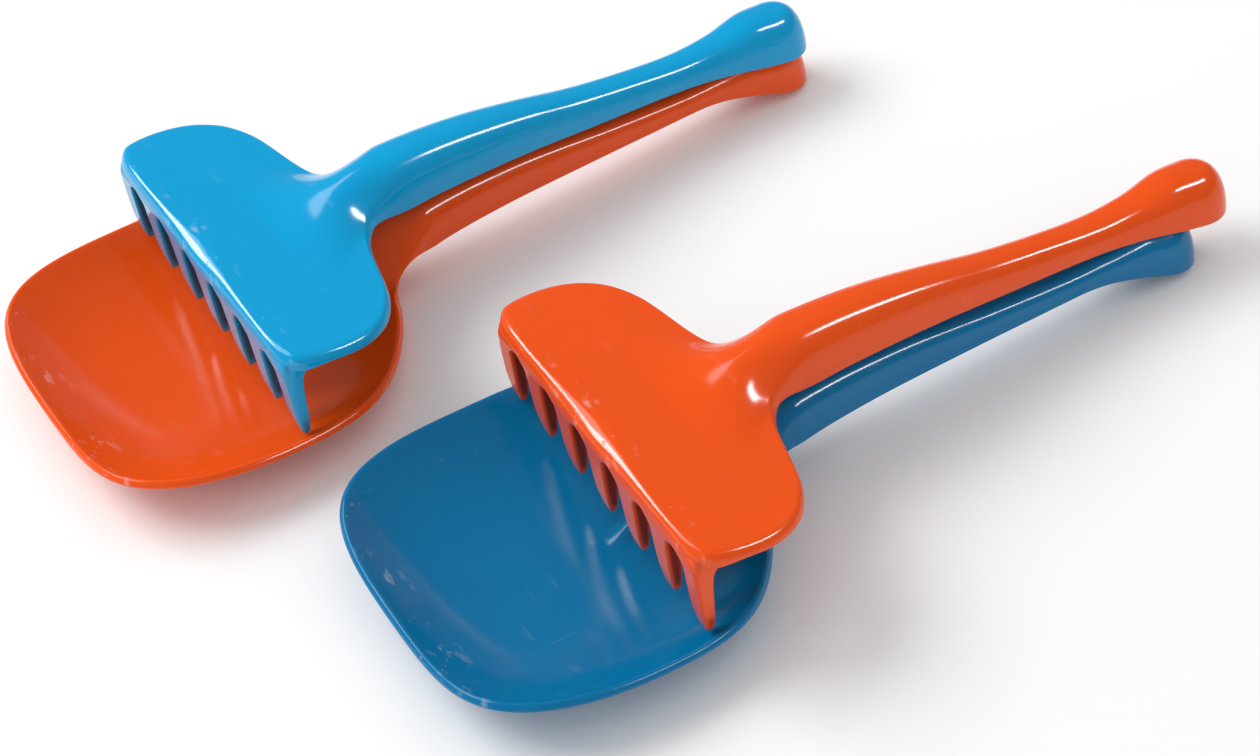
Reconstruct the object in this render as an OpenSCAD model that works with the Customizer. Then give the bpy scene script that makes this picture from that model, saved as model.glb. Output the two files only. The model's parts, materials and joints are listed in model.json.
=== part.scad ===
// Two nested sets of children's garden hand tools: in each set a rake lies loose on a shovel.
// Every tool is one thin moulding, an open-bottomed sheet whose outline runs from the head to the
// butt of the handle. Each tool has its own frame: +X from the front edge to the butt, +Z up.

/* [Shovel] */
// Place of the handle's end of the bowl, from the front of the shovel's frame
bowl_len = 97.8; // [80:0.1:120]
// Half of the bowl's width at its rim
bowl_half = 51; // [40:0.5:60]
// Distance of the lip behind the front of the shovel's frame
lip_x = 1.2; // [0:0.1:3]
// Squareness of the lip end of the rim
lip_square = 3.75; // [2:0.05:5]
// Squareness of the handle end of the rim
heel_square = 1.6; // [1.4:0.05:2.5]
// Height of the lip's centre above the ground
lip_h = 14.3; // [8:0.1:20]
// How far the rim sinks between the lip and the handle
rim_dip = 11; // [0:0.1:12]
// How much higher the rim is at the sides
side_rise = 11; // [8:0.1:16]
// Height of the floor of the bowl
floor_h = 2.2; // [2:0.1:3]
// Steepness of the bowl's walls
wall_power = 3.1; // [2:0.1:4]
// Length of the shovel from the front of its frame to the butt
shovel_len = 232; // [200:0.5:260]

/* [Rake] */
// Length of the rake from the front edge to the butt
rake_len = 184.5; // [160:0.5:220]
// Height of the top of the rake's head at its front edge
head_h = 42.4; // [38:0.1:45]
// How much the head falls per millimetre towards the handle
head_fall = 0.19; // [0.1:0.01:0.25]
// Depth of the skirt along the front of the head
skirt_h = 5; // [3:0.1:7]
// Depth of the skirt round the rest of the head
side_skirt_h = 3; // [2.6:0.1:7]
// Number of tines
tines = 7; // [5:1:9]
// Distance from tine to tine
tine_pitch = 15.36; // [12:0.01:16]
// Height of the tines' tips above the ground
tip_h = 12.8; // [11:0.1:15]
// Width of a tine near its root
tine_w = 7.4; // [5:0.1:9]
// Fore-and-aft depth of a tine near its root
tine_d = 4.4; // [3:0.1:6]

/* [Moulding] */
// Wall thickness of the sheet
wall = 2.3; // [1.8:0.1:2.6]
// Half of the handle's width at its bulb
bulb_half = 9; // [8:0.1:10]
// Length of the rounded end of the handle
butt_round = 9.5; // [6:0.1:10]

/* [Row] */
// Distance of the first rake's front edge from its shovel's lip
nest_a = 48.3; // [47:0.1:50]
// Distance of the second rake's front edge from its shovel's lip
nest_b = 58; // [57:0.1:61]
// How far the first rake lies to one side of its shovel
side_a = -0.6; // [-0.8:0.1:0.8]
// How far the second rake lies to one side of its shovel
side_b = 0.5; // [-0.8:0.1:0.8]
// Where the second shovel's lip lies beside the first, along and across
set_b = [38.7, -116.6];
// Turn of the second set
set_b_turn = -1.76; // [-5:0.01:0]

/* [Hidden] */
orange = [0.91, 0.32, 0.10];
blue = [0.0, 0.56, 0.80];
// Centre of the box round all four tools, seen from above
row_centre = [140.43, -59.4];
// Steps from the spine to the edge of a sheet
reach_steps = 7;
// Steps round half of the bowl, between two points of the rake's head, and round half a butt
bowl_steps = 20;
head_steps = 2;
butt_steps = 4;
// Angle of the rim where the bowl ends and the handle begins
rim_end = 159;
// Shape of a butt: its squareness, and how far its fan of profiles reaches along the spine
butt_square = 0.9;
butt_fan = 0.3;
// Where the shovel's floor turns into the foot of the handle, and its bowl into the handle
foot_from = 78;
foot_to = 98;
bowl_to_handle = [96, 112];
// Where the skirt loses its depth round the corner of the head
skirt_turn = [3, 14];
// Where the skirt turns into the edge of the rake's handle, and its head into the handle
skirt_to_edge = [38, 52];
head_to_handle = [42, 58];
// Shares of the reach where the head's rounded edge begins and ends
edge_from = 0.55;
edge_to = 0.9;

// ---- Curves ----
function mix(a, b, k) = a + (b - a) * k;
function clamp01(k) = max(0, min(1, k));
function ease(k) = let (c = clamp01(k)) c * c * (3 - 2 * c);
function ramp(x, low, high) = ease((x - low) / (high - low));
// Bell that is 1 at q = 0 and meets 0 smoothly at q = 1
function bell(q) = abs(q) < 1 ? pow(1 - q * q, 2) : 0;

// Cubic through four values, k of the way from the second to the third
function cubic(a, b, c, d, k) =
    0.5 * (2 * b + (c - a) * k + (2 * a - 5 * b + 4 * c - d) * k * k + (3 * b - a - 3 * c + d) * k * k * k);

// Smooth height or width at x, from stations [x, value]
function at_station(s, x, i = 0) =
    x <= s[0][0] ? s[0][1]
    : i >= len(s) - 1 ? s[len(s) - 1][1]
    : x > s[i + 1][0] ? at_station(s, x, i + 1)
    : let (
        span = s[i + 1][0] - s[i][0],
        k = (x - s[i][0]) / span,
        m0 = station_slope(s, i) * span,
        m1 = station_slope(s, i + 1) * span
    ) (2 * pow(k, 3) - 3 * k * k + 1) * s[i][1] + (pow(k, 3) - 2 * k * k + k) * m0
      + (3 * k * k - 2 * pow(k, 3)) * s[i + 1][1] + (pow(k, 3) - k * k) * m1;
function station_slope(s, i) =
    let (a = max(i - 1, 0), b = min(i + 1, len(s) - 1)) (s[b][1] - s[a][1]) / (s[b][0] - s[a][0]);

// ---- Shovel: outline, heights and surface ----
butt_x = shovel_len - butt_round;
shovel_half = [[98, 11.2], [104, 9.8], [112, 9], [140, 6.9], [170, 5.9], [192, 5.8], [204, 6.4],
    [214, 8.1], [butt_x, bulb_half]];
shovel_edge = [[94, 7.4], [98, 8.8], [104, 11.2], [112, 12.5], [125, 12.6], [155, 10.8], [185, 9.2],
    [200, 8.7], [213, 6], [butt_x, 2.4], [shovel_len, 0]];
shovel_top = [[50, floor_h], [58, floor_h + 0.1], [66, 6.8], [80, 14.6], [98, 23.6], [112, 25.6], [140, 22.9],
    [170, 18.1], [192, 15.8], [204, 16], [214, 17.2], [butt_x, 15.8], [shovel_len, 14]];
crest_half = [[58, 2], [66, 5], [80, 10], [98, 13]];
spine_at = [[0, 40], [90, 50], [126, 63], [160, 91]];

function rim_xy(a) =
    let (c = cos(a), n = mix(heel_square, lip_square, (1 + c) / 2))
    [lip_x + (bowl_len - lip_x) / 2 * (1 - sign(c) * pow(abs(c), 2 / n)), bowl_half * pow(sin(a), 2 / n)];
function rim_h(p) =
    let (low_x = 0.59 * bowl_len)
    lip_h - rim_dip * (1 - pow((p[0] - low_x) / low_x, 2)) + side_rise * pow(p[1] / bowl_half, 2);

// Half outline of the shovel as [x, y, x on the spine, height of the edge]
shovel_outline = concat(
    [for (i = [0:bowl_steps]) let (a = rim_end * i / bowl_steps, p = rim_xy(a))
        [p[0], p[1], at_station(spine_at, a), rim_h(p)]],
    [for (x = [98, 104, 112, 120, 130, 140, 155, 170, 181, 192, 198, 204, 209, 214, 218.5, butt_x])
        [x, at_station(shovel_half, x), x, at_station(shovel_edge, x)]],
    butt_outline(butt_x, butt_round, shovel_edge));

// Rounded end of a handle, as points of a half outline
function butt_outline(x0, length, edge) = [
    for (i = [1:butt_steps])
        let (a = 90 * i / butt_steps, x = x0 + length * pow(sin(a), butt_square))
        [x, i == butt_steps ? 0 : bulb_half * pow(cos(a), butt_square), x0 + butt_fan * length * i / butt_steps,
            at_station(edge, x)]];

// Point of the shovel's upper skin: u is an entry of the outline and f goes from 0 on the spine to 1
function shovel_point(u, f) =
    let (
        handle = ramp(u[2], bowl_to_handle[0], bowl_to_handle[1]),
        g = mix(f, sin(90 * f), handle),
        x = mix(u[2], u[0], g),
        y = u[1] * g,
        base = mix(floor_h, u[3], ramp(u[2], foot_from, foot_to)),
        top = at_station(shovel_top, x),
        bowl = base + (u[3] - base) * pow(f, wall_power),
        crest = max(0, top - base) * bell(y / at_station(crest_half, x)),
        spine = at_station(shovel_top, u[2])
    )
    [x, y, mix(bowl + crest, u[3] + (spine - u[3]) * cos(90 * f), handle)];

// ---- Rake: outline, heights and surface ----
rake_butt_x = rake_len - butt_round;
rake_half = [[54, 9.6], [66, 9], [82, 8.3], [98, 7.2], [114, 6.3], [130, 5.8], [146, 5.9], [158, 6.8],
    [168, 8.5], [rake_butt_x, bulb_half]];
rake_edge = [[40, head_h - 40 * head_fall - side_skirt_h], [54, 29.6], [66, 29.2], [82, 27.9], [98, 25.6], [114, 22.9],
    [130, 20.7], [146, 18.7], [158, 16.7], [168, 15], [rake_butt_x, 13.5], [rake_len, 11.8]];
rake_top = [[12, head_h - 12 * head_fall], [22, 38.2], [32, 38.9], [42, 41.4], [52, 43.1], [66, 42.6], [82, 40.2],
    [98, 36.4], [114, 31.8], [130, 28.3], [146, 25.7], [158, 25.7], [168, 27.2], [rake_butt_x, 26.5], [rake_len, 24.5]];
crown_half = [[12, 34], [30, 26], [42, 16], [54, 12]];
// Half outline of the head as [x, y, x on the spine]
head_shape = [[0.6, -15, 12], [0.6, 0, 12], [0.6, 15, 12.5], [0.6, 30, 13.5], [0.8, 41.5, 15], [2, 48, 17],
    [6, 51.3, 19], [14, 52.7, 22], [23, 51.7, 25], [31, 47, 28], [36.3, 38.5, 31], [39, 28, 34.5], [41.5, 18.5, 39],
    [46, 11.8, 45.5], [54, 9.6, 54], [66, 9, 66]];

function head_top(x) = head_h - head_fall * x;
function rake_edge_h(x) = mix(head_top(x) - mix(skirt_h, side_skirt_h, ramp(x, skirt_turn[0], skirt_turn[1])),
    at_station(rake_edge, x), ramp(x, skirt_to_edge[0], skirt_to_edge[1]));
rake_outline = concat(
    [for (i = [1:len(head_shape) - 3], k = [0:head_steps - 1])
        let (p = cubic(head_shape[i - 1], head_shape[i], head_shape[i + 1], head_shape[i + 2], k / head_steps))
        [p[0], i == 1 && k == 0 ? 0 : p[1], p[2], rake_edge_h(p[0])]],
    [for (x = [54, 60, 66, 74, 82, 90, 98, 106, 114, 122, 130, 138, 146, 152, 158, 163, 167.5, 171.5, rake_butt_x])
        [x, at_station(rake_half, x), x, at_station(rake_edge, x)]],
    butt_outline(rake_butt_x, butt_round, rake_edge));

// Point of the rake's upper skin, as for the shovel: a flat top, a rounded edge and a skirt on the
// head, and an arch along the handle
function rake_point(u, f) =
    let (
        handle = ramp(u[2], head_to_handle[0], head_to_handle[1]),
        reach = norm([u[0] - u[2], u[1]]),
        front = 1 - ramp(u[0], 1, 5),
        round_in = mix(2.4, 6.4, front),
        round_down = mix(2.4, skirt_h - 0.2, front),
        a = 90 * clamp01((f - edge_from) / (edge_to - edge_from)),
        skirt = clamp01((f - edge_to) / (1 - edge_to)),
        inset = 1 - round_in / reach,
        flat_g = f < edge_from ? inset * f / edge_from : inset + (1 - inset) * sin(a),
        g = mix(flat_g, sin(90 * f), handle),
        x = mix(u[2], u[0], g),
        y = u[1] * g,
        crown = max(0, at_station(rake_top, x) - head_top(x)) * bell(y / at_station(crown_half, x)),
        drop = round_down * (1 - cos(a)) + (head_top(u[0]) - u[3] - round_down) * skirt,
        spine = at_station(rake_top, u[2])
    )
    [x, y, mix(head_top(x) + crown - drop, u[3] + (spine - u[3]) * cos(90 * f), handle)];

// ---- Sheet: a skin, the same skin one wall lower, and the edge between them ----
function skin_normal(g, i, j) =
    let (
        n = len(g) - 1,
        m = len(g[0]) - 1,
        mirrored = [1, -1, 1],
        before = i > 0 ? g[i - 1][j] : [for (k = [0:2]) g[1][j][k] * mirrored[k]],
        after = i < n ? g[i + 1][j] : [for (k = [0:2]) g[n - 1][j][k] * mirrored[k]],
        inner = j > 0 ? g[i][j - 1] : [for (k = [0:2]) g[i][1][k] * mirrored[k]],
        outer = j < m ? g[i][j + 1] : g[i][j],
        end = j == 0 && (i == 0 || i == n),
        along = i == 0 ? g[1][0] - g[0][1] : g[n][1] - g[n - 1][0],
        c = end ? [-along[2], 0, along[0]] : cross(outer - (j < m ? inner : g[i][j - 1]), before - after)
    )
    i == 0 || i == n || j == 0 ? unit([c[0], 0, c[2]]) : unit(c);
function unit(v) = v / norm(v);

// The lower skin never reaches below the ground
function lower_point(p, n) = let (q = p - wall * n) [q[0], q[1], max(q[2], 0)];

module sheet(upper) {
    n = len(upper) - 1;
    m = len(upper[0]) - 1;
    lower = [for (i = [0:n]) [for (j = [0:m]) lower_point(upper[i][j], skin_normal(upper, i, j))]];
    // Points of both skins, the far half and then the near one, row by row from the spine outwards
    function flip(p, side) = [p[0], side * p[1], p[2]];
    points = [for (skin = [upper, lower], side = [1, -1], i = [0:n], j = [0:m]) flip(skin[i][j], side)];
    half = (n + 1) * (m + 1);
    function at(skin, side, i, j) = skin * 2 * half + side * half + i * (m + 1) + j;
    // Two triangles, split so that no diagonal lies in the plane between the halves
    function quad(a, b, c, d, turned, late) = let (q = turned ? [a, d, c, b] : [a, b, c, d])
        late ? [[q[0], q[1], q[3]], [q[1], q[2], q[3]]] : [[q[0], q[1], q[2]], [q[0], q[2], q[3]]];
    skins = [for (skin = [0, 1], side = [0, 1], i = [0:n - 1], j = [0:m - 1])
        each quad(at(skin, side, i, j), at(skin, side, i + 1, j), at(skin, side, i + 1, j + 1), at(skin, side, i, j + 1),
            (skin + side) % 2 == 0, i > n / 2)];
    edge = [for (side = [0, 1], i = [0:n - 1])
        each quad(at(0, side, i, m), at(0, side, i + 1, m), at(1, side, i + 1, m), at(1, side, i, m), side == 0, i > n / 2)];
    polyhedron(points, concat(skins, edge));
}

module shovel() {
    sheet([for (u = shovel_outline) [for (j = [0:reach_steps]) shovel_point(u, j / reach_steps)]]);
}

// ---- Tines ----
arch_top = head_h - skirt_h - 1.2;
arch_r = (tine_pitch - tine_w) / 2;
spring_h = arch_top - arch_r;
comb_half = (tines - 1) / 2 * tine_pitch + tine_w / 2;
tine_front = 0.8;
tine_round = 0.6;
tine_slab = 0.3;
// Levels of a tine from its tip to the spring of the arches: [height, front, rear, half width]
tine_levels = [[tip_h, 2.2, 3.8, 1.4], [tip_h + 1.5, 1.8, 4.1, 2], [tip_h + 7, 1, 4.4, 2.9],
    [tip_h + 14, tine_front + 0.2, 4.7, 3.4], [spring_h + 1.5, tine_front + 0.2, tine_front + tine_d - 0.2, tine_w / 2 - 0.2]];

module tine_level(v) {
    translate([v[1], -v[3], v[0]]) linear_extrude(tine_slab) translate([tine_round, tine_round])
        offset(tine_round, $fn = 12) square([v[2] - v[1] - 2 * tine_round, 2 * (v[3] - tine_round)]);
}
module tine() {
    for (i = [0:len(tine_levels) - 2]) hull() { tine_level(tine_levels[i]); tine_level(tine_levels[i + 1]); }
}
// The solid root of the tines, with round arches between them and a fillet under the head
module root() {
    difference() {
        translate([0, comb_half, 0]) rotate([90, 0, 0]) linear_extrude(2 * comb_half) polygon([
            [tine_front, spring_h - 1], [tine_front + tine_d, spring_h - 1], [1.4 + tine_d, spring_h + 2],
            [3 + tine_d, spring_h + 3.6], [4 + tine_d, head_top(8) - wall / 2], [4, head_top(4) - wall / 2],
            [1.9, arch_top + 3], [tine_front, arch_top + 0.45]]);
        for (i = [1:tines - 1]) translate([-1, (i - tines / 2) * tine_pitch, spring_h]) rotate([0, 90, 0]) hull() {
            cylinder(h = 18, r = arch_r, $fn = 24);
            translate([5, 0, 0]) cylinder(h = 18, r = arch_r, $fn = 24);
        }
    }
}
module comb() {
    root();
    for (i = [0:tines - 1]) translate([0, (i - (tines - 1) / 2) * tine_pitch, 0]) tine();
}

module rake() {
    union() {
        sheet([for (u = rake_outline) [for (j = [0:reach_steps]) rake_point(u, j / reach_steps)]]);
        comb();
    }
}

// ---- The row ----
module in_row() { translate([-row_centre[0], -row_centre[1], 0]) children(); }
module in_set_b() { translate([set_b[0], set_b[1], 0]) rotate([0, 0, set_b_turn]) children(); }

module orange_shovel() { color(orange) in_row() shovel(); }
module blue_rake() { color(blue) in_row() translate([nest_a, side_a, 0]) rake(); }
module blue_shovel() { color(blue) in_row() in_set_b() shovel(); }
module orange_rake() { color(orange) in_row() in_set_b() translate([nest_b, side_b, 0]) rake(); }

orange_shovel();
blue_rake();
blue_shovel();
orange_rake();
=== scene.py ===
"""Two nested sets of moulded garden hand tools: in each set a seven-tined rake lies on a shovel.

Every tool is one thin glossy moulding. Its sheet is a profile carried round the tool's outline: from
the spine over the upper skin, round the lip and back under the lower skin. A rake also has a comb of
tines with round arches between them. Tools are worked out in millimetres in a frame of their own, x
from the front edge to the butt and z up, then turned and moved to where the frame holds them.
"""

import json
import logging
import math
from dataclasses import dataclass
from enum import Enum
from typing import Any, Union

import bmesh
import bpy
import numpy as np
from mathutils import Matrix, Vector


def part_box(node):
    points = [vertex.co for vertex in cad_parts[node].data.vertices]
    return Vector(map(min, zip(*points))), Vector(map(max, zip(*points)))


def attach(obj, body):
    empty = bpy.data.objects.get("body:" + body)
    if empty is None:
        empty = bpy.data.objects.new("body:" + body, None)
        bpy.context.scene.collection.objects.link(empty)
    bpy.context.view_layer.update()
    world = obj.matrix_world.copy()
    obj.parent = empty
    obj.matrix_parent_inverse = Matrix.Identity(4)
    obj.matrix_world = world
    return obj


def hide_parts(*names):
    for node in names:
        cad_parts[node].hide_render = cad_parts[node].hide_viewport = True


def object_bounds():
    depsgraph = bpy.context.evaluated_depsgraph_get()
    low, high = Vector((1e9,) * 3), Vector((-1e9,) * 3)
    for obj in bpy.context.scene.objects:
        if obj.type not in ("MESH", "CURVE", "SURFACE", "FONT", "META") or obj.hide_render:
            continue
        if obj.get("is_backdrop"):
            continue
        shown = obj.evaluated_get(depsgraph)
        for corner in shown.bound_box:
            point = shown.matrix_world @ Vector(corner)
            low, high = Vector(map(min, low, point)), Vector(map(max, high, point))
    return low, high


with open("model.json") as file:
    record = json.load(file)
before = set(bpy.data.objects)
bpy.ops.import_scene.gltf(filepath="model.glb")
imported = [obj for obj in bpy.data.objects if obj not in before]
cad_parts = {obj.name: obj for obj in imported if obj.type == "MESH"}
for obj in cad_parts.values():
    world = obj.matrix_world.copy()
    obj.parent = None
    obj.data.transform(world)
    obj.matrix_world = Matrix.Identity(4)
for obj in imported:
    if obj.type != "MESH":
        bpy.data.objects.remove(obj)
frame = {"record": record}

Array = np.ndarray
Side = tuple[Array, Array, Array]
LOG = logging.getLogger("hand_tools")
MM = 0.001
TOUCHING = 2e-6


# ---- Curves ----------------------------------------------------------------------------------

def mix(a: Any, b: Any, k: Any) -> Any:
    """Straight blend from a to b as k goes from 0 to 1."""
    return a + (b - a) * k


def ramp(x: Any, low: float, high: float) -> Any:
    """Smooth step from 0 at low to 1 at high: 3 c squared minus 2 c cubed, c clamped."""
    c = np.clip((np.asarray(x, float) - low) / (high - low), 0, 1)
    return c * c * (3 - 2 * c)


def bell(q: Any) -> Any:
    """Bell that is 1 at q = 0 and meets 0 smoothly at q = 1: (1 - q squared) squared."""
    return np.where(np.abs(q) < 1, (1 - np.square(q)) ** 2, 0.0)


def unit(v: Array) -> Array:
    """Vectors along the last axis, each divided by its length."""
    return v / np.maximum(np.linalg.norm(v, axis=-1, keepdims=True), 1e-12)


def hermite(a: Any, b: Any, slope_a: Any, slope_b: Any, k: Any) -> Any:
    """Cubic from a to b with the given end slopes over a unit span, at k."""
    k2, k3 = k * k, k * k * k
    return ((2 * k3 - 3 * k2 + 1) * a + (k3 - 2 * k2 + k) * slope_a
            + (3 * k2 - 2 * k3) * b + (k3 - k2) * slope_b)


@dataclass(frozen=True)
class Stations:
    """A smooth value along a length, held at a few (place, value) stations."""

    points: tuple[tuple[float, float], ...]

    def at(self, x: Any) -> Array:
        """Cubic between stations, whose slope at each is the chord's between its neighbours.

        Args:
            x: places, of any shape; past the ends the end values hold.

        Returns:
            The values there.
        """
        place, value = np.array(self.points, float).T
        last = len(place) - 1
        number = np.arange(last + 1)
        low, high = np.maximum(number - 1, 0), np.minimum(number + 1, last)
        slope = (value[high] - value[low]) / (place[high] - place[low])
        i = np.clip(np.searchsorted(place, x, side="right") - 1, 0, last - 1)
        span = place[i + 1] - place[i]
        k = np.clip((x - place[i]) / span, 0, 1)
        return hermite(value[i], value[i + 1], slope[i] * span, slope[i + 1] * span, k)


def fair(coarse: Array, step: float) -> Array:
    """A half outline made smooth and evenly spaced.

    A cubic runs through the rows by chord length. Its slope at a row is the chord's between the two
    neighbours, where the row before the first and the one after the last are mirror images.

    Args:
        coarse: rows of x, y and any further values that go with them.
        step: spacing of the new rows.

    Returns:
        The new rows, the first and last as they were.
    """
    mirrored = np.ones(coarse.shape[1])
    mirrored[1] = -1
    rows = np.vstack([coarse[1] * mirrored, coarse, coarse[-2] * mirrored])
    run = np.concatenate([[0], np.cumsum(np.linalg.norm(np.diff(rows[:, :2], axis=0), axis=1))])
    slope = (rows[2:] - rows[:-2]) / (run[2:] - run[:-2])[:, None]
    run = run[1:-1] - run[1]
    place = np.linspace(0, run[-1], round(run[-1] / step) + 1)
    i = np.clip(np.searchsorted(run, place, side="right") - 1, 0, len(run) - 2)
    span = (run[i + 1] - run[i])[:, None]
    k = (place[:, None] - run[i][:, None]) / span
    return hermite(coarse[i], coarse[i + 1], slope[i] * span, slope[i + 1] * span, k)


# ---- Meshes ----------------------------------------------------------------------------------

@dataclass
class Patch:
    """Points and quads in a tool's own frame, in millimetres."""

    points: Array
    quads: Array

    def __add__(self, other: "Patch") -> "Patch":
        """Both patches as one."""
        return Patch(np.vstack([self.points, other.points]),
                     np.vstack([self.quads, other.quads + len(self.points)]))


def grid_quads(index: Array, wrap: bool) -> Array:
    """Quads between the neighbouring entries of a grid of point numbers.

    Args:
        index: rows of point numbers.
        wrap: whether the last row also joins the first.

    Returns:
        Four point numbers a quad: here, next row, next row and entry, next entry.
    """
    ahead = np.roll(index, -1, axis=0) if wrap else index[1:]
    here = index if wrap else index[:-1]
    return np.stack([here[:, :-1], ahead[:, :-1], ahead[:, 1:], here[:, 1:]], axis=-1).reshape(-1, 4)


# ---- Sheet -----------------------------------------------------------------------------------

@dataclass(frozen=True)
class Sheet:
    """The thin open-bottomed sheet that a tool is moulded as, and how finely it is cut.

    The wall and the corner radius of its edge are in millimetres, and so is the step between the
    columns. Each column has reach_steps along it, placed by a finer measure of fine_steps.
    """

    wall: float = 2.3
    corner: float = 0.75
    corner_steps: int = 5
    columns_step: float = 1.0
    reach_steps: int = 46
    fine_steps: int = 240
    crowding: float = 1.0

    def half(self, tool: "Tool") -> Array:
        """The upper skin on the far side of the spine, evenly stepped from the spine outwards.

        Each column of the tool's skin is measured by its own run, which ends one corner short of the
        edge. The steps crowd towards the edge as 1 - (1 - v) to the power of crowding.

        Args:
            tool: gives the outline and the skin.

        Returns:
            Points, one row for each column of the outline.
        """
        rows = fair(tool.outline(), self.columns_step)
        u = [rows[:, n, None] for n in range(4)]
        f = np.linspace(0, 1, self.fine_steps + 1)
        fine = tool.skin(*u, f[None, :])
        strides = np.linalg.norm(np.diff(fine, axis=1), axis=-1)
        run = np.pad(np.cumsum(strides, axis=1), ((0, 0), (1, 0)))
        spread = 1 - (1 - np.linspace(0, 1, self.reach_steps + 1)) ** self.crowding
        target = (run[:, -1:] - self.corner) * spread[None, :]
        i = np.clip((run[:, None, :] <= target[:, :, None]).sum(-1) - 1, 0, self.fine_steps - 1)
        before, after = np.take_along_axis(run, i, 1), np.take_along_axis(run, i + 1, 1)
        return tool.skin(*u, f[i] + (f[1] - f[0]) * (target - before) / (after - before))

    def build(self, tool: "Tool") -> Patch:
        """The whole sheet as one closed skin.

        The profile of a column runs over the upper skin, round two corner arcs of the edge, and back
        along the lower skin, which lies one wall under the upper one along its normal. The profiles
        go once round the outline, and both halves share their points on the spine.

        Args:
            tool: gives the outline and the skin.

        Returns:
            The closed patch.
        """
        half = self.half(tool)
        mirrored = half[-2:0:-1] * np.array([1, -1, 1])
        upper = np.concatenate([half, mirrored])
        count, last = len(upper), upper.shape[1] - 1
        along = np.roll(upper, -1, 0) - np.roll(upper, 1, 0)
        outward = np.gradient(upper, axis=1)
        normal = unit(np.cross(along, outward))
        normal[:, 0] = unit(normal[:, 1] * np.array([1, 0, 1]))
        end, up = upper[:, last:], normal[:, last:]
        out = unit(outward[:, last:] - (outward[:, last:] * up).sum(-1, keepdims=True) * up)
        turn = np.linspace(0, math.pi / 2, self.corner_steps + 1)[1:, None]
        back = turn[::-1]
        top_middle, low_middle = end - self.corner * up, end - (self.wall - self.corner) * up
        top_arc = top_middle + self.corner * (up * np.cos(turn) + out * np.sin(turn))
        low_arc = low_middle + self.corner * (out * np.sin(back) - up * np.cos(back))
        lower = (upper - self.wall * normal)[:, ::-1]
        profile = np.concatenate([upper, top_arc, low_arc, lower], axis=1)
        profile[..., 2] = np.maximum(profile[..., 2], 0)
        index = np.arange(count * profile.shape[1]).reshape(count, -1)
        n = len(half) - 1
        for column in (0, -1):
            index[n + 1:, column] = index[n - 1:0:-1, column]
        return Patch(profile.reshape(-1, 3), grid_quads(index, wrap=True))


# ---- Tools -----------------------------------------------------------------------------------

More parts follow.
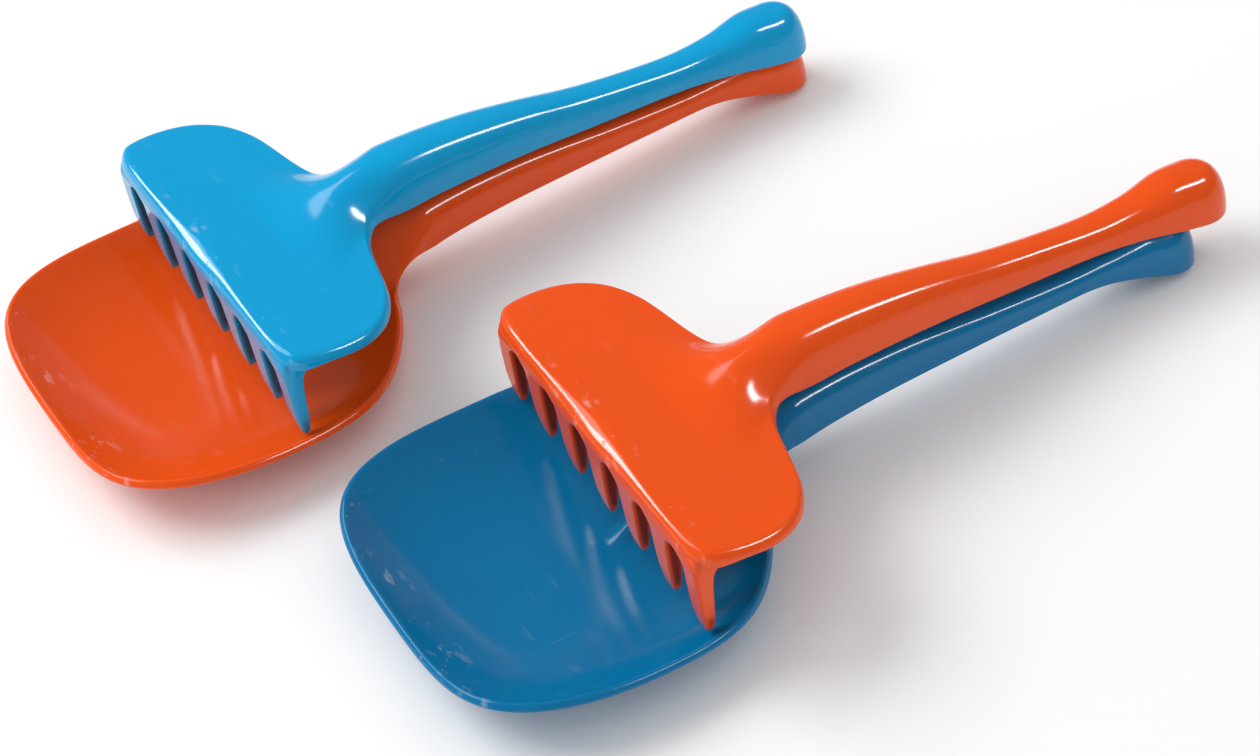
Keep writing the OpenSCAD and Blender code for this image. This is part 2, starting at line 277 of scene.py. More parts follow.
@dataclass(frozen=True)
class Tool:
    """What both kinds of tool share: the handle's section, its rounded end and the way to a mesh.

    butt_square and arch_square are powers on sine and cosine: below 1 they square a curve off.
    """

    sheet: Sheet = Sheet()
    bulb_half: float = 9.0
    butt_round: float = 9.5
    butt_steps: int = 8
    butt_square: float = 0.9
    butt_fan: float = 0.3
    arch_square: float = 0.75

    def outline(self) -> Array:
        """Half outline as rows of x, y, x on the spine and height of the edge."""
        raise NotImplementedError

    def skin(self, ox: Array, oy: Array, sx: Array, edge: Array, f: Array) -> Array:
        """Points of the upper skin, f from 0 on the spine to 1 on the outline."""
        raise NotImplementedError

    def patch(self) -> Patch:
        """The closed mesh of the tool."""
        return self.sheet.build(self)

    def arch(self, f: Array) -> tuple[Array, Array]:
        """Across a handle: sine and cosine of an even angle, each to one power, as (out, up)."""
        turn = f * math.pi / 2
        return np.sin(turn) ** self.arch_square, np.maximum(np.cos(turn), 0) ** self.arch_square

    def butt(self, x0: float, edge: Stations) -> Array:
        """Rows of the rounded end: x0 + r sine^p and half width times cosine^p of an even angle.

        The points on the spine that go with the rows fan out over a share of the radius.

        Args:
            x0: where the end begins.
            edge: height of the edge along the tool.

        Returns:
            Rows as in outline().
        """
        share = np.arange(1, self.butt_steps + 1) / self.butt_steps
        x = x0 + self.butt_round * np.sin(share * math.pi / 2) ** self.butt_square
        y = self.bulb_half * np.maximum(np.cos(share * math.pi / 2), 0) ** self.butt_square
        y[-1] = 0
        return np.column_stack([x, y, x0 + self.butt_fan * self.butt_round * share, edge.at(x)])

    def place(self, points: Array, node: str, turn: float) -> Array:
        """Points turned about the vertical and centred over a node's box, in metres."""
        c, s = math.cos(math.radians(turn)), math.sin(math.radians(turn))
        turned = points @ np.array([[c, s, 0], [-s, c, 0], [0, 0, 1]]) * MM
        low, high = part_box(node)
        middle = (np.array(low) + np.array(high)) / 2
        shift = middle - (turned.min(0) + turned.max(0)) / 2
        shift[2] = 0
        return turned + shift

    def wear(self, points: Array) -> Array:
        """How much use has marked each point, from 0 to 1."""
        raise NotImplementedError

    def painted_shade(self, points: Array) -> Array:
        """How much painted shade darkens each point, from 0 to 1."""
        return np.zeros(len(points))

    def piece(self, name: str, node: str, turn: float) -> bpy.types.Object:
        """The tool as an object in the row's frame, with its own map, its wear and its painted shade.

        Args:
            name: name of the piece.
            node: the node that it stands for, which also gives its place.
            turn: turn of its set about the vertical, in degrees.

        Returns:
            The object, smooth shaded.
        """
        patch = self.patch()
        mesh = bpy.data.meshes.new(name)
        mesh.from_pydata(self.place(patch.points, node, turn).tolist(), [], patch.quads.tolist())
        along = mesh.attributes.new("along", "FLOAT_VECTOR", "POINT")
        along.data.foreach_set("vector", (patch.points * MM).astype(np.float32).ravel())
        # wear is real wear; the second attribute carries painted shade for the rake's slots
        for label, share in (("wear", self.wear(patch.points)),
                             ("painted_shade", self.painted_shade(patch.points))):
            layer = mesh.attributes.new(label, "FLOAT", "POINT")
            layer.data.foreach_set("value", share.astype(np.float32))
        self.close(mesh)
        mesh.polygons.foreach_set("use_smooth", np.ones(len(mesh.polygons), bool))
        mesh.update()
        piece = bpy.data.objects.new(name, mesh)
        bpy.context.scene.collection.objects.link(piece)
        return piece

    @staticmethod
    def close(mesh: bpy.types.Mesh) -> None:
        """Merges what touches, closes what is left open, and turns the faces outwards."""
        shape = bmesh.new()
        shape.from_mesh(mesh)
        bmesh.ops.remove_doubles(shape, verts=shape.verts, dist=TOUCHING)
        loose = [v for v in shape.verts if not v.link_faces]
        bmesh.ops.delete(shape, geom=loose, context="VERTS")
        rims = [e for e in shape.edges if e.is_boundary]
        bmesh.ops.holes_fill(shape, edges=rims, sides=0)
        bmesh.ops.recalc_face_normals(shape, faces=shape.faces)
        shape.to_mesh(mesh)
        shape.free()


@dataclass(frozen=True)
class Shovel(Tool):
    """The lower tool of a set: a round bowl with a raised crest that runs into the handle."""

    bowl_len: float = 97.8
    bowl_half: float = 51.0
    lip_square: float = 3.75
    heel_square: float = 1.6
    lip_x: float = 1.2
    lip_h: float = 14.3
    rim_dip: float = 11.0
    side_rise: float = 11.0
    floor_h: float = 2.2
    wall_power: float = 3.1
    length: float = 232.0
    rim_end: float = 159.0
    rim_steps: int = 40
    rim_low: float = 0.59
    foot: tuple[float, float] = (78.0, 98.0)
    bowl_to_handle: tuple[float, float] = (96.0, 112.0)
    half: Stations = Stations(((98, 11.2), (104, 9.8), (112, 9), (140, 6.9), (170, 5.9),
                               (192, 5.8), (204, 6.4), (214, 8.1), (222.5, 9)))
    edge: Stations = Stations(((94, 7.4), (98, 8.8), (104, 11.2), (112, 12.5), (125, 12.6),
                               (155, 10.8), (185, 9.2), (200, 8.7), (213, 6), (222.5, 2.4),
                               (232, 0)))
    top: Stations = Stations(((50, 2.2), (58, 2.3), (66, 6.8), (80, 14.6), (98, 23.6),
                              (112, 25.6), (140, 22.9), (170, 18.1), (192, 15.8), (204, 16),
                              (214, 17.2), (222.5, 15.8), (232, 14)))
    crest_half: Stations = Stations(((58, 2), (66, 5), (80, 10), (98, 13)))
    spine: Stations = Stations(((0, 40), (90, 50), (126, 63), (160, 91)))
    columns: tuple[float, ...] = (98, 104, 112, 120, 130, 140, 155, 170, 181, 192, 198, 204, 209,
                                  214, 218.5, 222.5)
    lip_worn: tuple[float, float] = (2.0, 16.0)
    floor_worn: tuple[float, float] = (40.0, 90.0)

    def outline(self) -> Array:
        """Rim as a superellipse whose squareness fades from lip to heel, then the handle.

        The rim dips as a parabola, lowest at a share of the bowl's length, and rises at the sides.
        """
        angle = np.linspace(0, self.rim_end, self.rim_steps + 1)
        c, s = np.cos(np.radians(angle)), np.sin(np.radians(angle))
        n = mix(self.heel_square, self.lip_square, (1 + c) / 2)
        middle = (self.bowl_len - self.lip_x) / 2
        x = self.lip_x + middle * (1 - np.sign(c) * np.abs(c) ** (2 / n))
        y = self.bowl_half * s ** (2 / n)
        low_x = self.rim_low * self.bowl_len
        rise = self.side_rise * (y / self.bowl_half) ** 2
        z = self.lip_h - self.rim_dip * (1 - ((x - low_x) / low_x) ** 2) + rise
        rim = np.column_stack([x, y, self.spine.at(angle), z])
        x = np.array(self.columns)
        handle = np.column_stack([x, self.half.at(x), x, self.edge.at(x)])
        return np.vstack([rim, handle, self.butt(self.length - self.butt_round, self.edge)])

    def skin(self, ox: Array, oy: Array, sx: Array, edge: Array, f: Array) -> Array:
        """Bowl: floor to edge as f^p plus a bell-shaped crest; handle: an arch across."""
        handle = ramp(sx, *self.bowl_to_handle)
        out, up = self.arch(f)
        g = mix(f, out, handle)
        x, y = mix(sx, ox, g), oy * g
        base = mix(self.floor_h, edge, ramp(sx, *self.foot))
        bowl = base + (edge - base) * f ** self.wall_power
        crest = np.maximum(0, self.top.at(x) - base) * bell(y / self.crest_half.at(x))
        arch = edge + (self.top.at(sx) - edge) * up
        z = mix(bowl + crest, arch, handle)
        return np.stack(np.broadcast_arrays(x, y, z), axis=-1)

    def wear(self, points: Array) -> Array:
        """Most at the lip, and a little on the floor of the bowl."""
        x = points[:, 0]
        return 0.7 * (1 - ramp(x, *self.lip_worn)) + 0.3 * (1 - ramp(x, *self.floor_worn))


@dataclass(frozen=True)
class Tines:
    """The comb: slots with round arches, bell-mouthed at both faces, between tapering tines.

    front and rear hold how far behind the head's front edge the two faces are at each height, half
    the tine's half width, and corner the radius of an outer tine's front corner.
    """

    count: int = 7
    pitch: float = 15.36
    spring: float = 32.22
    tip: float = 12.8
    root_h: float = 40.1
    front_round: float = 0.6
    rear_round: float = 0.7
    whole_mouth_half: float = 2.4
    least_mouth: float = 0.5
    tip_round: float = 0.9
    tip_pinch: float = 0.7
    outer_half: float = 3.9
    outer_full_h: float = 36.0
    front: Stations = Stations(((12.8, 2.2), (14.3, 1.8), (19.8, 1.15), (26.8, 0.95),
                                (33.7, 0.85), (36.7, 0.8), (39.2, 1.9), (40.5, 4)))
    rear: Stations = Stations(((12.8, 3.8), (14.3, 4.1), (19.8, 4.5), (26.8, 4.8), (31.5, 5.2),
                               (34.2, 5.9), (35.8, 7.2), (37.5, 8.2), (40.5, 8.6)))
    half: Stations = Stations(((12.8, 1.4), (14.3, 2), (19.8, 2.9), (26.8, 3.4), (32.22, 3.7)))
    corner: Stations = Stations(((12.8, 0.6), (24, 1.1), (32.5, 2.2), (37.5, 4)))
    tip_rows: int = 4
    shaft_rows: int = 18
    arch_rows: int = 9
    root_rows: int = 5
    face_steps: int = 9
    corner_steps: int = 4
    side_steps: int = 4
    front_share: float = 0.14
    rear_share: float = 0.16

    def mouth(self, depth: Array, size: Array, scale: Array) -> Array:
        """How much wider the slot is near its two faces: a quarter circle at each."""
        total = 0.0
        for from_face, radius in ((depth, self.front_round), (size - depth, self.rear_round)):
            r = radius * scale
            k = np.clip(1 - from_face / r, 0, 1)
            total = total + r * (1 - np.sqrt(1 - k * k))
        return total

    def across(self) -> Array:
        """Shares of the depth at which a side is cut, close together in its two corners."""
        bend = 1 - np.cos(np.linspace(0, 1, self.corner_steps + 1) * math.pi / 2)
        middle = np.linspace(self.front_share, 1 - self.rear_share, self.side_steps + 1)[1:-1]
        return np.concatenate([self.front_share * bend, middle, 1 - self.rear_share * bend[::-1]])

    def side(self, depth_share: Array, outer: bool) -> Side:
        """One side of a tine, from the tip up into the head.

        Up to the spring of the arches a row is level and lies at the tine's half width less the
        mouth. Over the arch a row is a sine and cosine of one angle on the arch's own radius, which
        the mouth widens. The rows of the root go on up on the middle of the slot. A free side instead
        widens evenly above the spring and is rounded by quarter circles at both faces.

        Args:
            depth_share: shares of the depth, from the front face to the rear one.
            outer: whether it is the free side of an outer tine, which has no arch.

        Returns:
            x, y and z, one row a level.
        """
        round_up = np.linspace(0, math.pi / 2, self.tip_rows + 1)[:-1]
        inset = self.tip_round * (1 - np.sin(round_up))
        z_tip = self.tip + self.tip_round * (1 - np.cos(round_up))
        z_shaft = np.linspace(self.tip + self.tip_round, self.spring, self.shaft_rows + 1)
        level = np.concatenate([z_tip, z_shaft])[:, None]
        inset = np.concatenate([inset, np.zeros(self.shaft_rows + 1)])[:, None]
        angle = np.linspace(0, math.pi / 2, self.arch_rows + 1)[1:, None]
        rise = np.linspace(0, 1, self.root_rows + 1)[1:, None]
        share = depth_share[None, :]
        radius = self.pitch / 2 - float(self.half.at(self.spring))
        scale = np.clip(self.half.at(level) / self.whole_mouth_half, self.least_mouth, 1)
        size = self.rear.at(level) - self.front.at(level)
        z_low = level + 0 * share
        y_low = self.half.at(level) - self.mouth(share * size, size, scale) - inset
        size = self.rear.at(self.spring + radius * np.sin(angle)) - self.front.at(self.spring)
        arch = radius + self.mouth(share * size, size, 1.0)
        z_arch, y_arch = self.spring + arch * np.sin(angle), self.pitch / 2 - arch * np.cos(angle)
        z_root = mix(z_arch[-1:], self.root_h, rise)
        y_root = np.full_like(z_root, self.pitch / 2)
        z = np.concatenate([z_low, z_arch, z_root])
        y = np.concatenate([y_low, y_arch, y_root])
        front, rear = self.front.at(z), self.rear.at(z)
        pinch = np.concatenate([inset, np.zeros((len(z) - len(inset), 1))])
        x = mix(front + pinch * self.tip_pinch, rear - pinch * self.tip_pinch, share)
        if outer:
            wider = mix(self.half.at(self.spring), self.outer_half,
                        ramp(z, self.spring, self.outer_full_h))
            width = np.where(z < self.spring, self.half.at(z), wider)
            radius = self.corner.at(z)
            near = np.clip(1 - (x - front) / radius, 0, 1)
            far = np.clip(1 - (rear - x) / self.rear_round, 0, 1)
            y = (width - pinch - radius * (1 - np.sqrt(1 - near ** 2))
                 - self.rear_round * (1 - np.sqrt(1 - far ** 2)))
        return x, y, z

    def build(self) -> Patch:
        """All tines, side by side."""
        share = self.across()
        inner, free = self.side(share, outer=False), self.side(share, outer=True)
        tines = [self.tine(number, inner, free) for number in range(self.count)]
        return sum(tines[1:], tines[0])

    def tine(self, number: int, inner: Side, free: Side) -> Patch:
        """One tine: round it go the front face, a side, the rear face and the other side.

        Above the arches two neighbours meet on the middle of the slot, and neither has a side there.

        Args:
            number: its number from 0, along y.
            inner: x, y and z of a side that faces a neighbour.
            free: x, y and z of a side that faces none.

        Returns:
            The tine, open at the top.
        """
        last = self.count - 1
        right = np.stack(free if number == last else inner, axis=-1)
        left = np.stack(free if number == 0 else inner, axis=-1) * np.array([1, -1, 1])
        k = np.linspace(0, 1, self.face_steps + 1)[None, 1:-1, None]
        front = mix(left[:, :1], right[:, :1], k)
        rear = mix(right[:, -1:], left[:, -1:], k)
        ring = np.concatenate([front, right, rear, left[:, ::-1]], axis=1)
        middle = ring[:1].mean(axis=1, keepdims=True) + np.zeros_like(ring[:1])
        ring = np.concatenate([middle, ring])
        ring[..., 1] += (number - last / 2) * self.pitch
        index = np.arange(ring[..., 0].size).reshape(ring.shape[:2])
        index = np.concatenate([index, index[:, :1]], axis=1)
        quads = grid_quads(index, wrap=False)
        row, face = np.divmod(np.arange(len(quads)), ring.shape[1])
        start, width = self.face_steps - 1, right.shape[1]
        on_right = (face >= start) & (face < start + width - 1)
        on_left = (face >= 2 * start + width) & (face < 2 * start + 2 * width - 1)
        shared = (on_right & (number < last)) | (on_left & (number > 0))
        above = row > len(right) - self.root_rows - 1
        return Patch(ring.reshape(-1, 3), quads[~(above & shared)])


@dataclass(frozen=True)
class Rake(Tool):
    """The upper tool of a set: a flat head with a skirt, a comb of tines and an arched handle.

    head holds x, y and the x on the spine of listed points along the head's outline.
    """

    sheet: Sheet = Sheet(crowding=1.7)
    tines: Tines = Tines()
    length: float = 184.5
    head_h: float = 42.4
    head_fall: float = 0.19
    skirt_h: float = 5.0
    side_skirt_h: float = 3.0
    skirt_turn: tuple[float, float] = (3.0, 14.0)
    skirt_to_edge: tuple[float, float] = (38.0, 52.0)
    head_to_handle: tuple[float, float] = (42.0, 58.0)
    front_zone: tuple[float, float] = (1.0, 5.0)
    round_from: float = 0.55
    round_to: float = 0.9
    side_round: float = 2.4
    front_round: float = 6.4
    front_straight: float = 0.2
    half: Stations = Stations(((54, 9.6), (66, 9), (82, 8.3), (98, 7.2), (114, 6.3), (130, 5.8),
                               (146, 5.9), (158, 6.8), (168, 8.5), (175, 9)))
    edge: Stations = Stations(((40, 31.8), (54, 29.6), (66, 29.2), (82, 27.9), (98, 25.6),
                               (114, 22.9), (130, 20.7), (146, 18.7), (158, 16.7), (168, 15),
                               (175, 13.5), (184.5, 11.8)))
    top: Stations = Stations(((12, 40.12), (22, 38.2), (32, 38.9), (42, 41.4), (52, 43.1),
                              (66, 42.6), (82, 40.2), (98, 36.4), (114, 31.8), (130, 28.3),
                              (146, 25.7), (158, 25.7), (168, 27.2), (175, 26.5), (184.5, 24.5)))
    crown_half: Stations = Stations(((12, 34), (30, 26), (42, 16), (54, 12)))
    head: tuple[tuple[float, float, float], ...] = (
        (0.6, -15, 12), (0.6, 0, 12), (0.6, 15, 12.5), (0.6, 30, 13.5), (0.8, 41.5, 15), (2, 48, 17),
        (6, 51.3, 19), (14, 52.7, 22), (23, 51.7, 25), (31, 47, 28), (36.3, 38.5, 31),
        (39, 28, 34.5), (41.5, 18.5, 39), (46, 11.8, 45.5), (54, 9.6, 54), (66, 9, 66))
    columns: tuple[float, ...] = (54, 60, 66, 74, 82, 90, 98, 106, 114, 122, 130, 138, 146, 152,
                                  158, 163, 167.5, 171.5)
    front_worn: tuple[float, float] = (5.0, 12.0)
    front_worn_h: tuple[float, float] = (36.5, 38.5)
    tips_worn_h: tuple[float, float] = (13.0, 20.0)
    comb_depth: float = 8.0
    slot_front: tuple[float, float] = (0.3, 1.3)
    slot_rear: tuple[float, float] = (-0.9, -0.1)
    slot_sides: tuple[float, float] = (48.0, 49.5)
    slot_low: tuple[float, float] = (14.0, 17.0)
    slot_high: tuple[float, float] = (38.5, 40.5)

    def head_top(self, x: Array) -> Array:
        """Height of the flat head, which falls evenly towards the handle."""
        return self.head_h - self.head_fall * x

    def outline(self) -> Array:
        """The head's listed points and one more half way between each two, then the handle."""
        points = np.array(self.head, float)
        before, here, after, later = points[:-3], points[1:-2], points[2:-1], points[3:]
        half_way = hermite(here, after, (after - before) / 2, (later - here) / 2, 0.5)
        x, y, sx = np.stack([here, half_way], axis=1).reshape(-1, 3).T
        skirt = mix(self.skirt_h, self.side_skirt_h, ramp(x, *self.skirt_turn))
        z = mix(self.head_top(x) - skirt, self.edge.at(x), ramp(x, *self.skirt_to_edge))
        head = np.column_stack([x, y, sx, z])
        butt_x = self.length - self.butt_round
        x = np.array([*self.columns, butt_x])
        handle = np.column_stack([x, self.half.at(x), x, self.edge.at(x)])
        return np.vstack([head, handle, self.butt(butt_x, self.edge)])

    def skin(self, ox: Array, oy: Array, sx: Array, edge: Array, f: Array) -> Array:
        """Head: flat, then a quarter of an ellipse, then a straight skirt; handle: an arch across.

        The crown swells the head towards the neck as a bell across it.
        """
        handle, front = ramp(sx, *self.head_to_handle), 1 - ramp(ox, *self.front_zone)
        round_in = mix(self.side_round, self.front_round, front)
        round_down = mix(self.side_round, self.skirt_h - self.front_straight, front)
        rounded = np.clip((f - self.round_from) / (self.round_to - self.round_from), 0, 1)
        turn = rounded * math.pi / 2
        skirt = np.clip((f - self.round_to) / (1 - self.round_to), 0, 1)
        inset = 1 - round_in / np.hypot(ox - sx, oy)
        flat = np.where(f < self.round_from, inset * f / self.round_from,
                        inset + (1 - inset) * np.sin(turn))
        out, up = self.arch(f)
        g = mix(flat, out, handle)
        x, y = mix(sx, ox, g), oy * g
        level = self.head_top(x)
        crown = np.maximum(0, self.top.at(x) - level) * bell(y / self.crown_half.at(x))
        drop = round_down * (1 - np.cos(turn)) + (self.head_top(ox) - edge - round_down) * skirt
        arch = edge + (self.top.at(sx) - edge) * up
        z = mix(level + crown - drop, arch, handle)
        return np.stack(np.broadcast_arrays(x, y, z), axis=-1)

    def patch(self) -> Patch:
        """Sheet and comb together."""
        return self.sheet.build(self) + self.tines.build()

    def wear(self, points: Array) -> Array:
        """Most along the rounded front edge of the head, and at the tips of the tines."""
        x, z = points[:, 0], points[:, 2]
        front = (1 - ramp(x, *self.front_worn)) * ramp(z, *self.front_worn_h)
        tips = (1 - ramp(z, *self.tips_worn_h)) * (x < self.comb_depth)
        return np.maximum(front, 0.6 * tips)

    def painted_shade(self, points: Array) -> Array:
        """Painted shade on the walls of the slots only, away from the front and rear faces and the
        outer sides: colour darkened where the hollow slots are in shade.
        """
        x, y, z = points.T
        past_front, past_rear = x - self.tines.front.at(z), x - self.tines.rear.at(z)
        between = ramp(past_front, *self.slot_front) * (1 - ramp(past_rear, *self.slot_rear))
        level = ramp(z, *self.slot_low) * (1 - ramp(z, *self.slot_high))
        return between * level * (1 - ramp(np.abs(y), *self.slot_sides))


# ---- Shader maths ----------------------------------------------------------------------------

Value = Union[float, "Link"]


class Shader:
    """A material's node tree."""

    def __init__(self, name: str) -> None:
        """Starts an empty tree of that name."""
        self.material = bpy.data.materials.new(name)
        self.material.use_nodes = True
        self.tree = self.material.node_tree
        self.tree.nodes.clear()

    def node(self, kind: str, settings: dict[str, Any], values: dict[Any, Any]) -> bpy.types.Node:
        """Makes any node.

        Args:
            kind: the node's type.
            settings: properties, such as a Math node's operation, set first.
            values: numbers, colours or links for its sockets, by name or number.

        Returns:
            The node.
        """
        node = self.tree.nodes.new(kind)
        for key, value in settings.items():
            setattr(node, key, value)
        for key, value in values.items():
            if isinstance(value, Link):
                self.tree.links.new(value.socket, node.inputs[key])
            else:
                node.inputs[key].default_value = value
        return node

    def link(self, kind: str, settings: dict[str, Any], values: dict[Any, Any], out: Any = 0) -> "Link":
        """Makes a node and returns one of its outputs."""
        return Link(self, self.node(kind, settings, values).outputs[out])


class Link:
    """An output socket that numbers and other outputs can be combined with."""

    def __init__(self, shader: Shader, socket: bpy.types.NodeSocket) -> None:
        """Wraps a socket of a shader."""
        self.shader, self.socket = shader, socket

    def math(self, operation: str, *values: Value, clamp: bool = False) -> "Link":
        """A Math node on these values, in order."""
        return self.shader.link("ShaderNodeMath", {"operation": operation, "use_clamp": clamp},
                                dict(enumerate(values)))

    def __add__(self, other: Value) -> "Link":
        """Sum."""
        return self.math("ADD", self, other)

    def __radd__(self, other: Value) -> "Link":
        """Sum, turned round."""
        return self.math("ADD", other, self)

    def __sub__(self, other: Value) -> "Link":
        """Difference."""
        return self.math("SUBTRACT", self, other)

    def __rsub__(self, other: Value) -> "Link":
        """Difference, turned round."""
        return self.math("SUBTRACT", other, self)

    def __mul__(self, other: Value) -> "Link":
        """Product."""
        return self.math("MULTIPLY", self, other)

    def __rmul__(self, other: Value) -> "Link":
        """Product, turned round."""
        return self.math("MULTIPLY", other, self)

    def step(self, low: float, high: float) -> "Link":
        """Smooth step from 0 at low to 1 at high, or the other way if low is above high."""
        rising = {1: low, 2: high, 3: 0.0, 4: 1.0}
        falling = {1: high, 2: low, 3: 1.0, 4: 0.0}
        return self.shader.link("ShaderNodeMapRange", {"interpolation_type": "SMOOTHSTEP"},
                                {0: self, **(rising if low < high else falling)})


# ---- Finishes --------------------------------------------------------------------------------

class Tint(Enum):
    """The colours of the row's plastic, as linear light, with the record's slot of each."""

    ORANGE = ((0.80, 0.080, 0.005), "orange_plastic")
    BLUE = ((0.0, 0.32, 0.62), "blue_plastic")
    DEEP_BLUE = ((0.0, 0.155, 0.35), "blue_plastic")

    @property
    def colour(self) -> tuple[float, float, float]:
        """Linear red, green and blue."""
        return self.value[0]

    @property
    def slot(self) -> str:
        """Name of the record's material slot."""
        return self.value[1]


Stretch = tuple[float, float, float]
EVEN: Stretch = (1.0, 1.0, 1.0)


@dataclass(frozen=True)
class GlossPlastic:
    """Glossy moulded plastic: soft flow ripples, fine orange peel, hair scratches and scuffs.

    Scales are in waves a metre and depths in metres. A pair of numbers is where a smooth step
    begins and ends.
    """

    tint: Tint
    roughness: float = 0.14
    specular: float = 0.35
    ior: float = 1.49
    ripple_scale: float = 30.0
    ripple_stretch: Stretch = (0.45, 1, 1)
    ripple_depth: float = 0.000006
    patch_scale: float = 90.0
    peel_scale: float = 1500.0
    peel_depth: float = 0.0000045
    hair_scale: float = 260.0
    hair_stretch: Stretch = (1, 0.05, 1)
    hair_turn: float = 0.5
    hair_crest: tuple[float, float] = (0.66, 0.72)
    cross_scale: float = 364.0
    cross_stretch: Stretch = (0.05, 1, 1)
    cross_turn: float = 0.25
    cross_crest: tuple[float, float] = (0.67, 0.73)
    hair_patch: tuple[float, float] = (0.45, 0.62)
    hair_depth: float = 0.000004
    pit_scale: float = 420.0
    pit_size: tuple[float, float] = (0.22, 0.08)
    pit_area_scale: float = 120.0
    pit_area: tuple[float, float] = (0.5, 0.62)
    pit_wear: tuple[float, float] = (0.35, 0.9)
    pit_depth: float = 0.00009
    rub_scale: float = 330.0
    rub_stretch: Stretch = (1, 0.5, 1)
    rub_crest: tuple[float, float] = (0.55, 0.7)
    rub_patch: tuple[float, float] = (0.48, 0.6)
    rub_wear: tuple[float, float] = (0.3, 0.9)
    mottle: float = 0.06
    # how far the painted shade in the slots darkens the colour
    painted_shade_strength: float = 0.72
    scuff_pale: float = 0.35
    pit_pale: float = 0.3
    hair_pale: float = 0.04
    palest: float = 0.6
    pale_light: float = 0.9
    pale_share: float = 0.55
    patch_rough: float = 0.08
    scuff_rough: float = 0.25
    hair_rough: float = 0.06

    def material(self) -> bpy.types.Material:
        """Builds the material.

        Flow ripples are broad noise drawn out along the tool, peel is fine noise, and scratches are
        the narrow crests of noise that is stretched twenty to one, one way and across. Pits are the
        middles of random cells, and they and the pale scuffs show only where the wear attribute
        lets them. The painted-shade attribute darkens the colour: painted shade in the rake's slots.

        Returns:
            The material.
        """
        sh = Shader(self.tint.name.lower() + "_gloss")
        along = self.layer(sh, "along", "Vector")
        wear, painted_shade = self.layer(sh, "wear", "Fac"), self.layer(sh, "painted_shade", "Fac")

        def noise(scale: float, detail: float, stretch: Stretch = EVEN, turn: float = 0.0) -> Link:
            """Noise in the tool's own frame, stretched and turned about the vertical."""
            place = sh.link("ShaderNodeMapping", {},
                            {"Vector": along, "Rotation": (0, 0, turn), "Scale": stretch})
            return sh.link("ShaderNodeTexNoise", {},
                           {"Vector": place, "Scale": scale, "Detail": detail})

        ripple = noise(self.ripple_scale, 1.0, self.ripple_stretch)
        patchy = noise(self.patch_scale, 3.0)
        peel = noise(self.peel_scale, 2.0)
        hair = noise(self.hair_scale, 2.0, self.hair_stretch, self.hair_turn).step(*self.hair_crest)
        cross = noise(self.cross_scale, 2.0, self.cross_stretch, self.cross_turn)
        hairs = (hair + cross.step(*self.cross_crest)) * patchy.step(*self.hair_patch)
        cells = sh.link("ShaderNodeTexVoronoi", {"feature": "F1"},
                        {"Vector": along, "Scale": self.pit_scale, "Randomness": 1.0}, "Distance")
        pits = (cells.step(*self.pit_size) * noise(self.pit_area_scale, 2.0).step(*self.pit_area)
                * wear.step(*self.pit_wear))
        scuff = (noise(self.rub_scale, 5.0, self.rub_stretch).step(*self.rub_crest)
                 * patchy.step(*self.rub_patch) * wear.step(*self.rub_wear))
        marks = scuff * self.scuff_pale + pits * self.pit_pale + hairs * self.hair_pale
        pale = marks.math("MINIMUM", marks, self.palest)
        shade = (patchy - 0.5) * self.mottle + (ripple - 0.5) * self.mottle + 1.0
        # painted shade: the shade attribute darkens the colour on the slot walls
        colour = sh.link("ShaderNodeVectorMath", {"operation": "SCALE"},
                         {0: self.tint.colour, "Scale": shade * (1.0 - painted_shade * self.painted_shade_strength)})
        light = tuple(mix(c, self.pale_light, self.pale_share) for c in self.tint.colour)
        base = sh.link("ShaderNodeMix", {"data_type": "RGBA"},
                       {0: pale, 6: colour, 7: (*light, 1.0)}, 2)
        rough = (self.roughness + (patchy - 0.5) * self.patch_rough + scuff * self.scuff_rough
                 + hairs * self.hair_rough)
        height = (ripple * self.ripple_depth + peel * self.peel_depth
                  - pits * self.pit_depth - hairs * self.hair_depth)
        bump = sh.link("ShaderNodeBump", {},
                       {"Height": height, "Strength": 1.0, "Distance": 1.0}, "Normal")
        skin = sh.link("ShaderNodeBsdfPrincipled", {},
                       {"Base Color": base, "Roughness": rough, "Normal": bump,
                        "IOR": self.ior, "Specular IOR Level": self.specular})
        sh.node("ShaderNodeOutputMaterial", {}, {"Surface": skin})
        return sh.material

    @staticmethod
    def layer(sh: Shader, name: str, out: str) -> Link:
        """One of the mesh's own attributes."""
        return sh.link("ShaderNodeAttribute", {"attribute_name": name}, {}, out)


# ---- Studio ----------------------------------------------------------------------------------

@dataclass(frozen=True)
class Lamp:
    """A rectangular soft light that looks at the middle of the floor.

    Angles are in degrees, lengths in metres and power in watts. shines_on names one kind of tool.
    """

    name: str
    azimuth: float
    elevation: float
    distance: float
    width: float
    height: float
    power: float
    turn: float = 0.0
    aim: tuple[float, float, float] = (0.0, 0.0, 0.02)
    shines_on: str = ""

    def place(self) -> None:
        """Puts the light into the scene; azimuth 0 is on the -Y side and 90 on the +X side.

        A light that shines on one kind of tool only lends it a gleam and lights nothing else.
        """
        a, e = math.radians(self.azimuth), math.radians(self.elevation)
        away = Vector((math.sin(a) * math.cos(e), -math.cos(a) * math.cos(e), math.sin(e)))
        data = bpy.data.lights.new(self.name, "AREA")
        data.shape, data.size, data.size_y = "RECTANGLE", self.width, self.height
        data.energy = self.power
        lamp = bpy.data.objects.new(self.name, data)
        lamp.matrix_world = (Matrix.Translation(Vector(self.aim) + away * self.distance)
                             @ away.to_track_quat("Z", "Y").to_matrix().to_4x4()
                             @ Matrix.Rotation(math.radians(self.turn), 4, "Z"))
        if self.shines_on:
            lamp.visible_diffuse = False
            lit = bpy.data.collections.new(f"{self.name}_lit")
            for member in (m for m in ROW if self.shines_on in m.node):
                lit.objects.link(bpy.data.objects[member.name])
            lamp.light_linking.receiver_collection = lit
        bpy.context.scene.collection.objects.link(lamp)


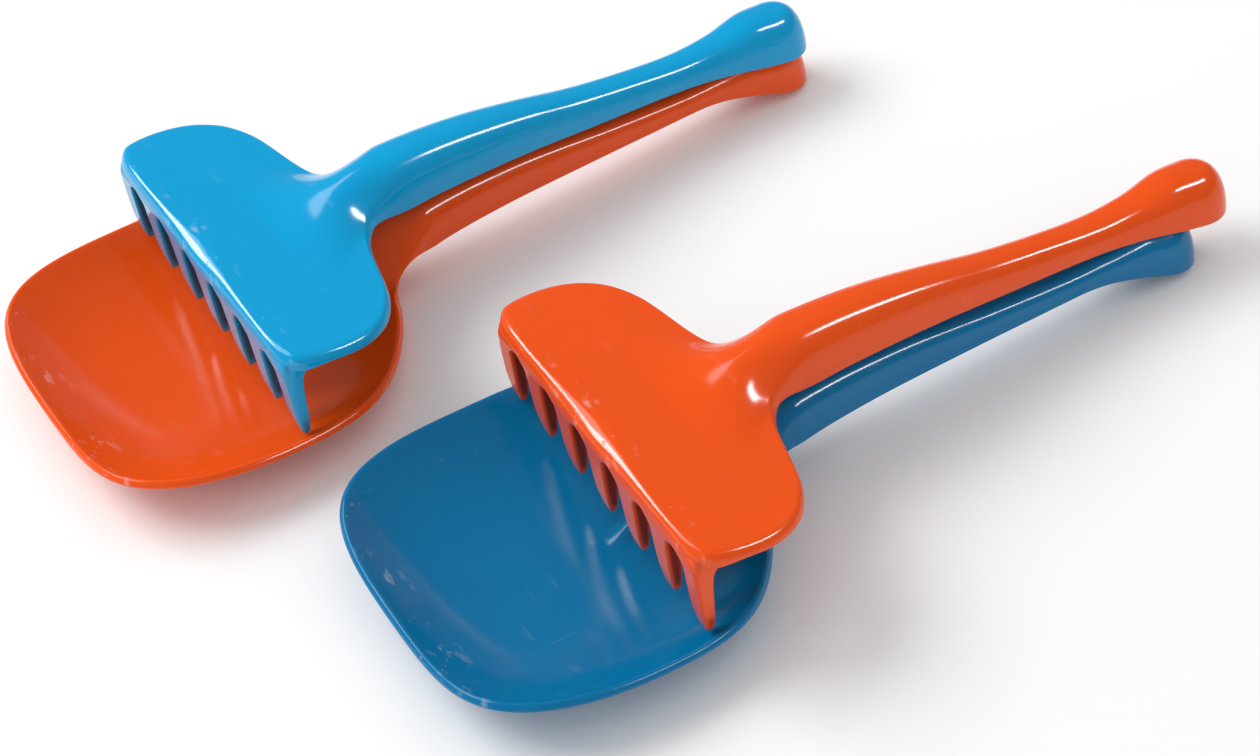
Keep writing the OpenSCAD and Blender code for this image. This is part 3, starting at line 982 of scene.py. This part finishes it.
@dataclass(frozen=True)
class Studio:
    """White floor, soft lights and the camera.

    The camera's azimuth, elevation and roll are in degrees, its distance in metres, and its lens
    and sensor in millimetres.
    """

    floor_size: float = 12.0
    floor_white: float = 0.9
    floor_rough: float = 0.8
    floor_gleam: float = 0.1
    floor_gap: float = 0.0002
    sky: float = 0.75
    sky_gleam: float = 0.22
    lamps: tuple[Lamp, ...] = (
        Lamp("key", -142.0, 47.0, 1.8, 1.3, 1.0, 21.0),
        Lamp("band", -143.0, 32.0, 1.4, 0.5, 0.55, 17.0, shines_on="rake"),
        Lamp("streak", 63.0, 50.0, 1.2, 0.16, 0.46, 11.0, 36.0, shines_on="rake"),
        Lamp("rim", 26.0, 32.0, 1.2, 0.6, 0.07, 6.0, shines_on="shovel"),
    )
    azimuth: float = -23.71
    elevation: float = 45.665
    distance: float = 0.8565
    roll: float = -10.868
    lens: float = 94.885
    sensor: float = 36.0
    aim: tuple[float, float, float] = (-0.0093, -0.0125, 0.0)

    def light(self) -> None:
        """World, lamps and the colour transform; reflections see a dimmer sky than the rest."""
        world = bpy.data.worlds.new("studio_white")
        world.use_nodes = True
        background = world.node_tree.nodes["Background"]
        background.inputs["Color"].default_value = (1, 1, 1, 1)
        nodes, links = world.node_tree.nodes, world.node_tree.links
        path, strength = nodes.new("ShaderNodeLightPath"), nodes.new("ShaderNodeMapRange")
        strength.inputs["To Min"].default_value = self.sky
        strength.inputs["To Max"].default_value = self.sky_gleam
        links.new(path.outputs["Is Glossy Ray"], strength.inputs["Value"])
        links.new(strength.outputs["Result"], background.inputs["Strength"])
        bpy.context.scene.world = world
        bpy.context.scene.view_settings.view_transform = "Standard"
        for lamp in self.lamps:
            lamp.place()

    def floor(self, level: float) -> None:
        """A wide matt white floor at that level, marked as no part of the object."""
        half = self.floor_size / 2
        mesh = bpy.data.meshes.new("floor")
        corners = [(x * half, y * half, level) for x, y in ((-1, -1), (1, -1), (1, 1), (-1, 1))]
        mesh.from_pydata(corners, [], [(0, 1, 2, 3)])
        sh = Shader("white_sweep")
        white = self.floor_white
        skin = sh.link("ShaderNodeBsdfPrincipled", {},
                       {"Base Color": (white, white, white, 1), "Roughness": self.floor_rough,
                        "Specular IOR Level": self.floor_gleam})
        sh.node("ShaderNodeOutputMaterial", {}, {"Surface": skin})
        mesh.materials.append(sh.material)
        floor = bpy.data.objects.new("floor", mesh)
        bpy.context.scene.collection.objects.link(floor)
        floor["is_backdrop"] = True

    def camera(self, low: Vector, high: Vector) -> None:
        """A long lens that looks down at the row across its corner, a little rolled.

        Args:
            low: lowest corner of the row's box.
            high: highest corner of the row's box.
        """
        a, e, r = (math.radians(angle) for angle in (self.azimuth, self.elevation, self.roll))
        ahead = Vector((-math.sin(a) * math.cos(e), math.cos(a) * math.cos(e), -math.sin(e)))
        right = Vector((math.cos(a), math.sin(a), 0))
        up = right.cross(ahead)
        right_rolled = math.cos(r) * right + math.sin(r) * up
        up_rolled = -math.sin(r) * right + math.cos(r) * up
        foot = Vector(((low.x + high.x) / 2, (low.y + high.y) / 2, low.z))
        place = foot + Vector(self.aim) - ahead * self.distance
        data = bpy.data.cameras.new("camera")
        data.lens, data.sensor_width = self.lens, self.sensor
        camera = bpy.data.objects.new("camera", data)
        turn = Matrix((right_rolled, up_rolled, -ahead)).transposed().to_4x4()
        camera.matrix_world = Matrix.Translation(place) @ turn
        bpy.context.scene.collection.objects.link(camera)
        bpy.context.scene.camera = camera


# ---- The row ---------------------------------------------------------------------------------

@dataclass(frozen=True)
class Member:
    """One tool of the row: what it is, the node that it stands for, its colour and its set's turn."""

    node: str
    tool: Tool
    tint: Tint
    turn: float

    @property
    def name(self) -> str:
        """Name of the piece."""
        return f"{self.node}_moulding"

    def dress(self, finishes: dict[Tint, bpy.types.Material]) -> None:
        """Builds the piece, gives it its finish and ties it to its body."""
        piece = self.tool.piece(self.name, self.node, self.turn)
        piece.data.materials.append(finishes[self.tint])
        body = piece_body(self.node)
        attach(piece, body)
        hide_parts(self.node)
        LOG.info("%s: %d faces, rides on %s", piece.name, len(piece.data.polygons), body)


def piece_body(node: str) -> str:
    """Name of the body that a node belongs to."""
    bodies = frame["record"]["behaviour"]["bodies"]
    return next(body for body, nodes in bodies.items() if node in nodes)


SECOND_SET_TURN = -1.76
ROW = (
    Member("orange_shovel", Shovel(), Tint.ORANGE, 0.0),
    Member("blue_rake", Rake(), Tint.BLUE, 0.0),
    Member("blue_shovel", Shovel(), Tint.DEEP_BLUE, SECOND_SET_TURN),
    Member("orange_rake", Rake(), Tint.ORANGE, SECOND_SET_TURN),
)


def main() -> None:
    """Builds the row, the studio and the camera."""
    logging.basicConfig(level=logging.INFO, format="%(name)s %(message)s")
    low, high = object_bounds()
    finishes = {tint: GlossPlastic(tint).material() for tint in Tint}
    for member in ROW:
        member.dress(finishes)
    studio = Studio()
    studio.floor(low.z - studio.floor_gap)
    studio.light()
    studio.camera(low, high)


if __name__ == "__main__":
    main()
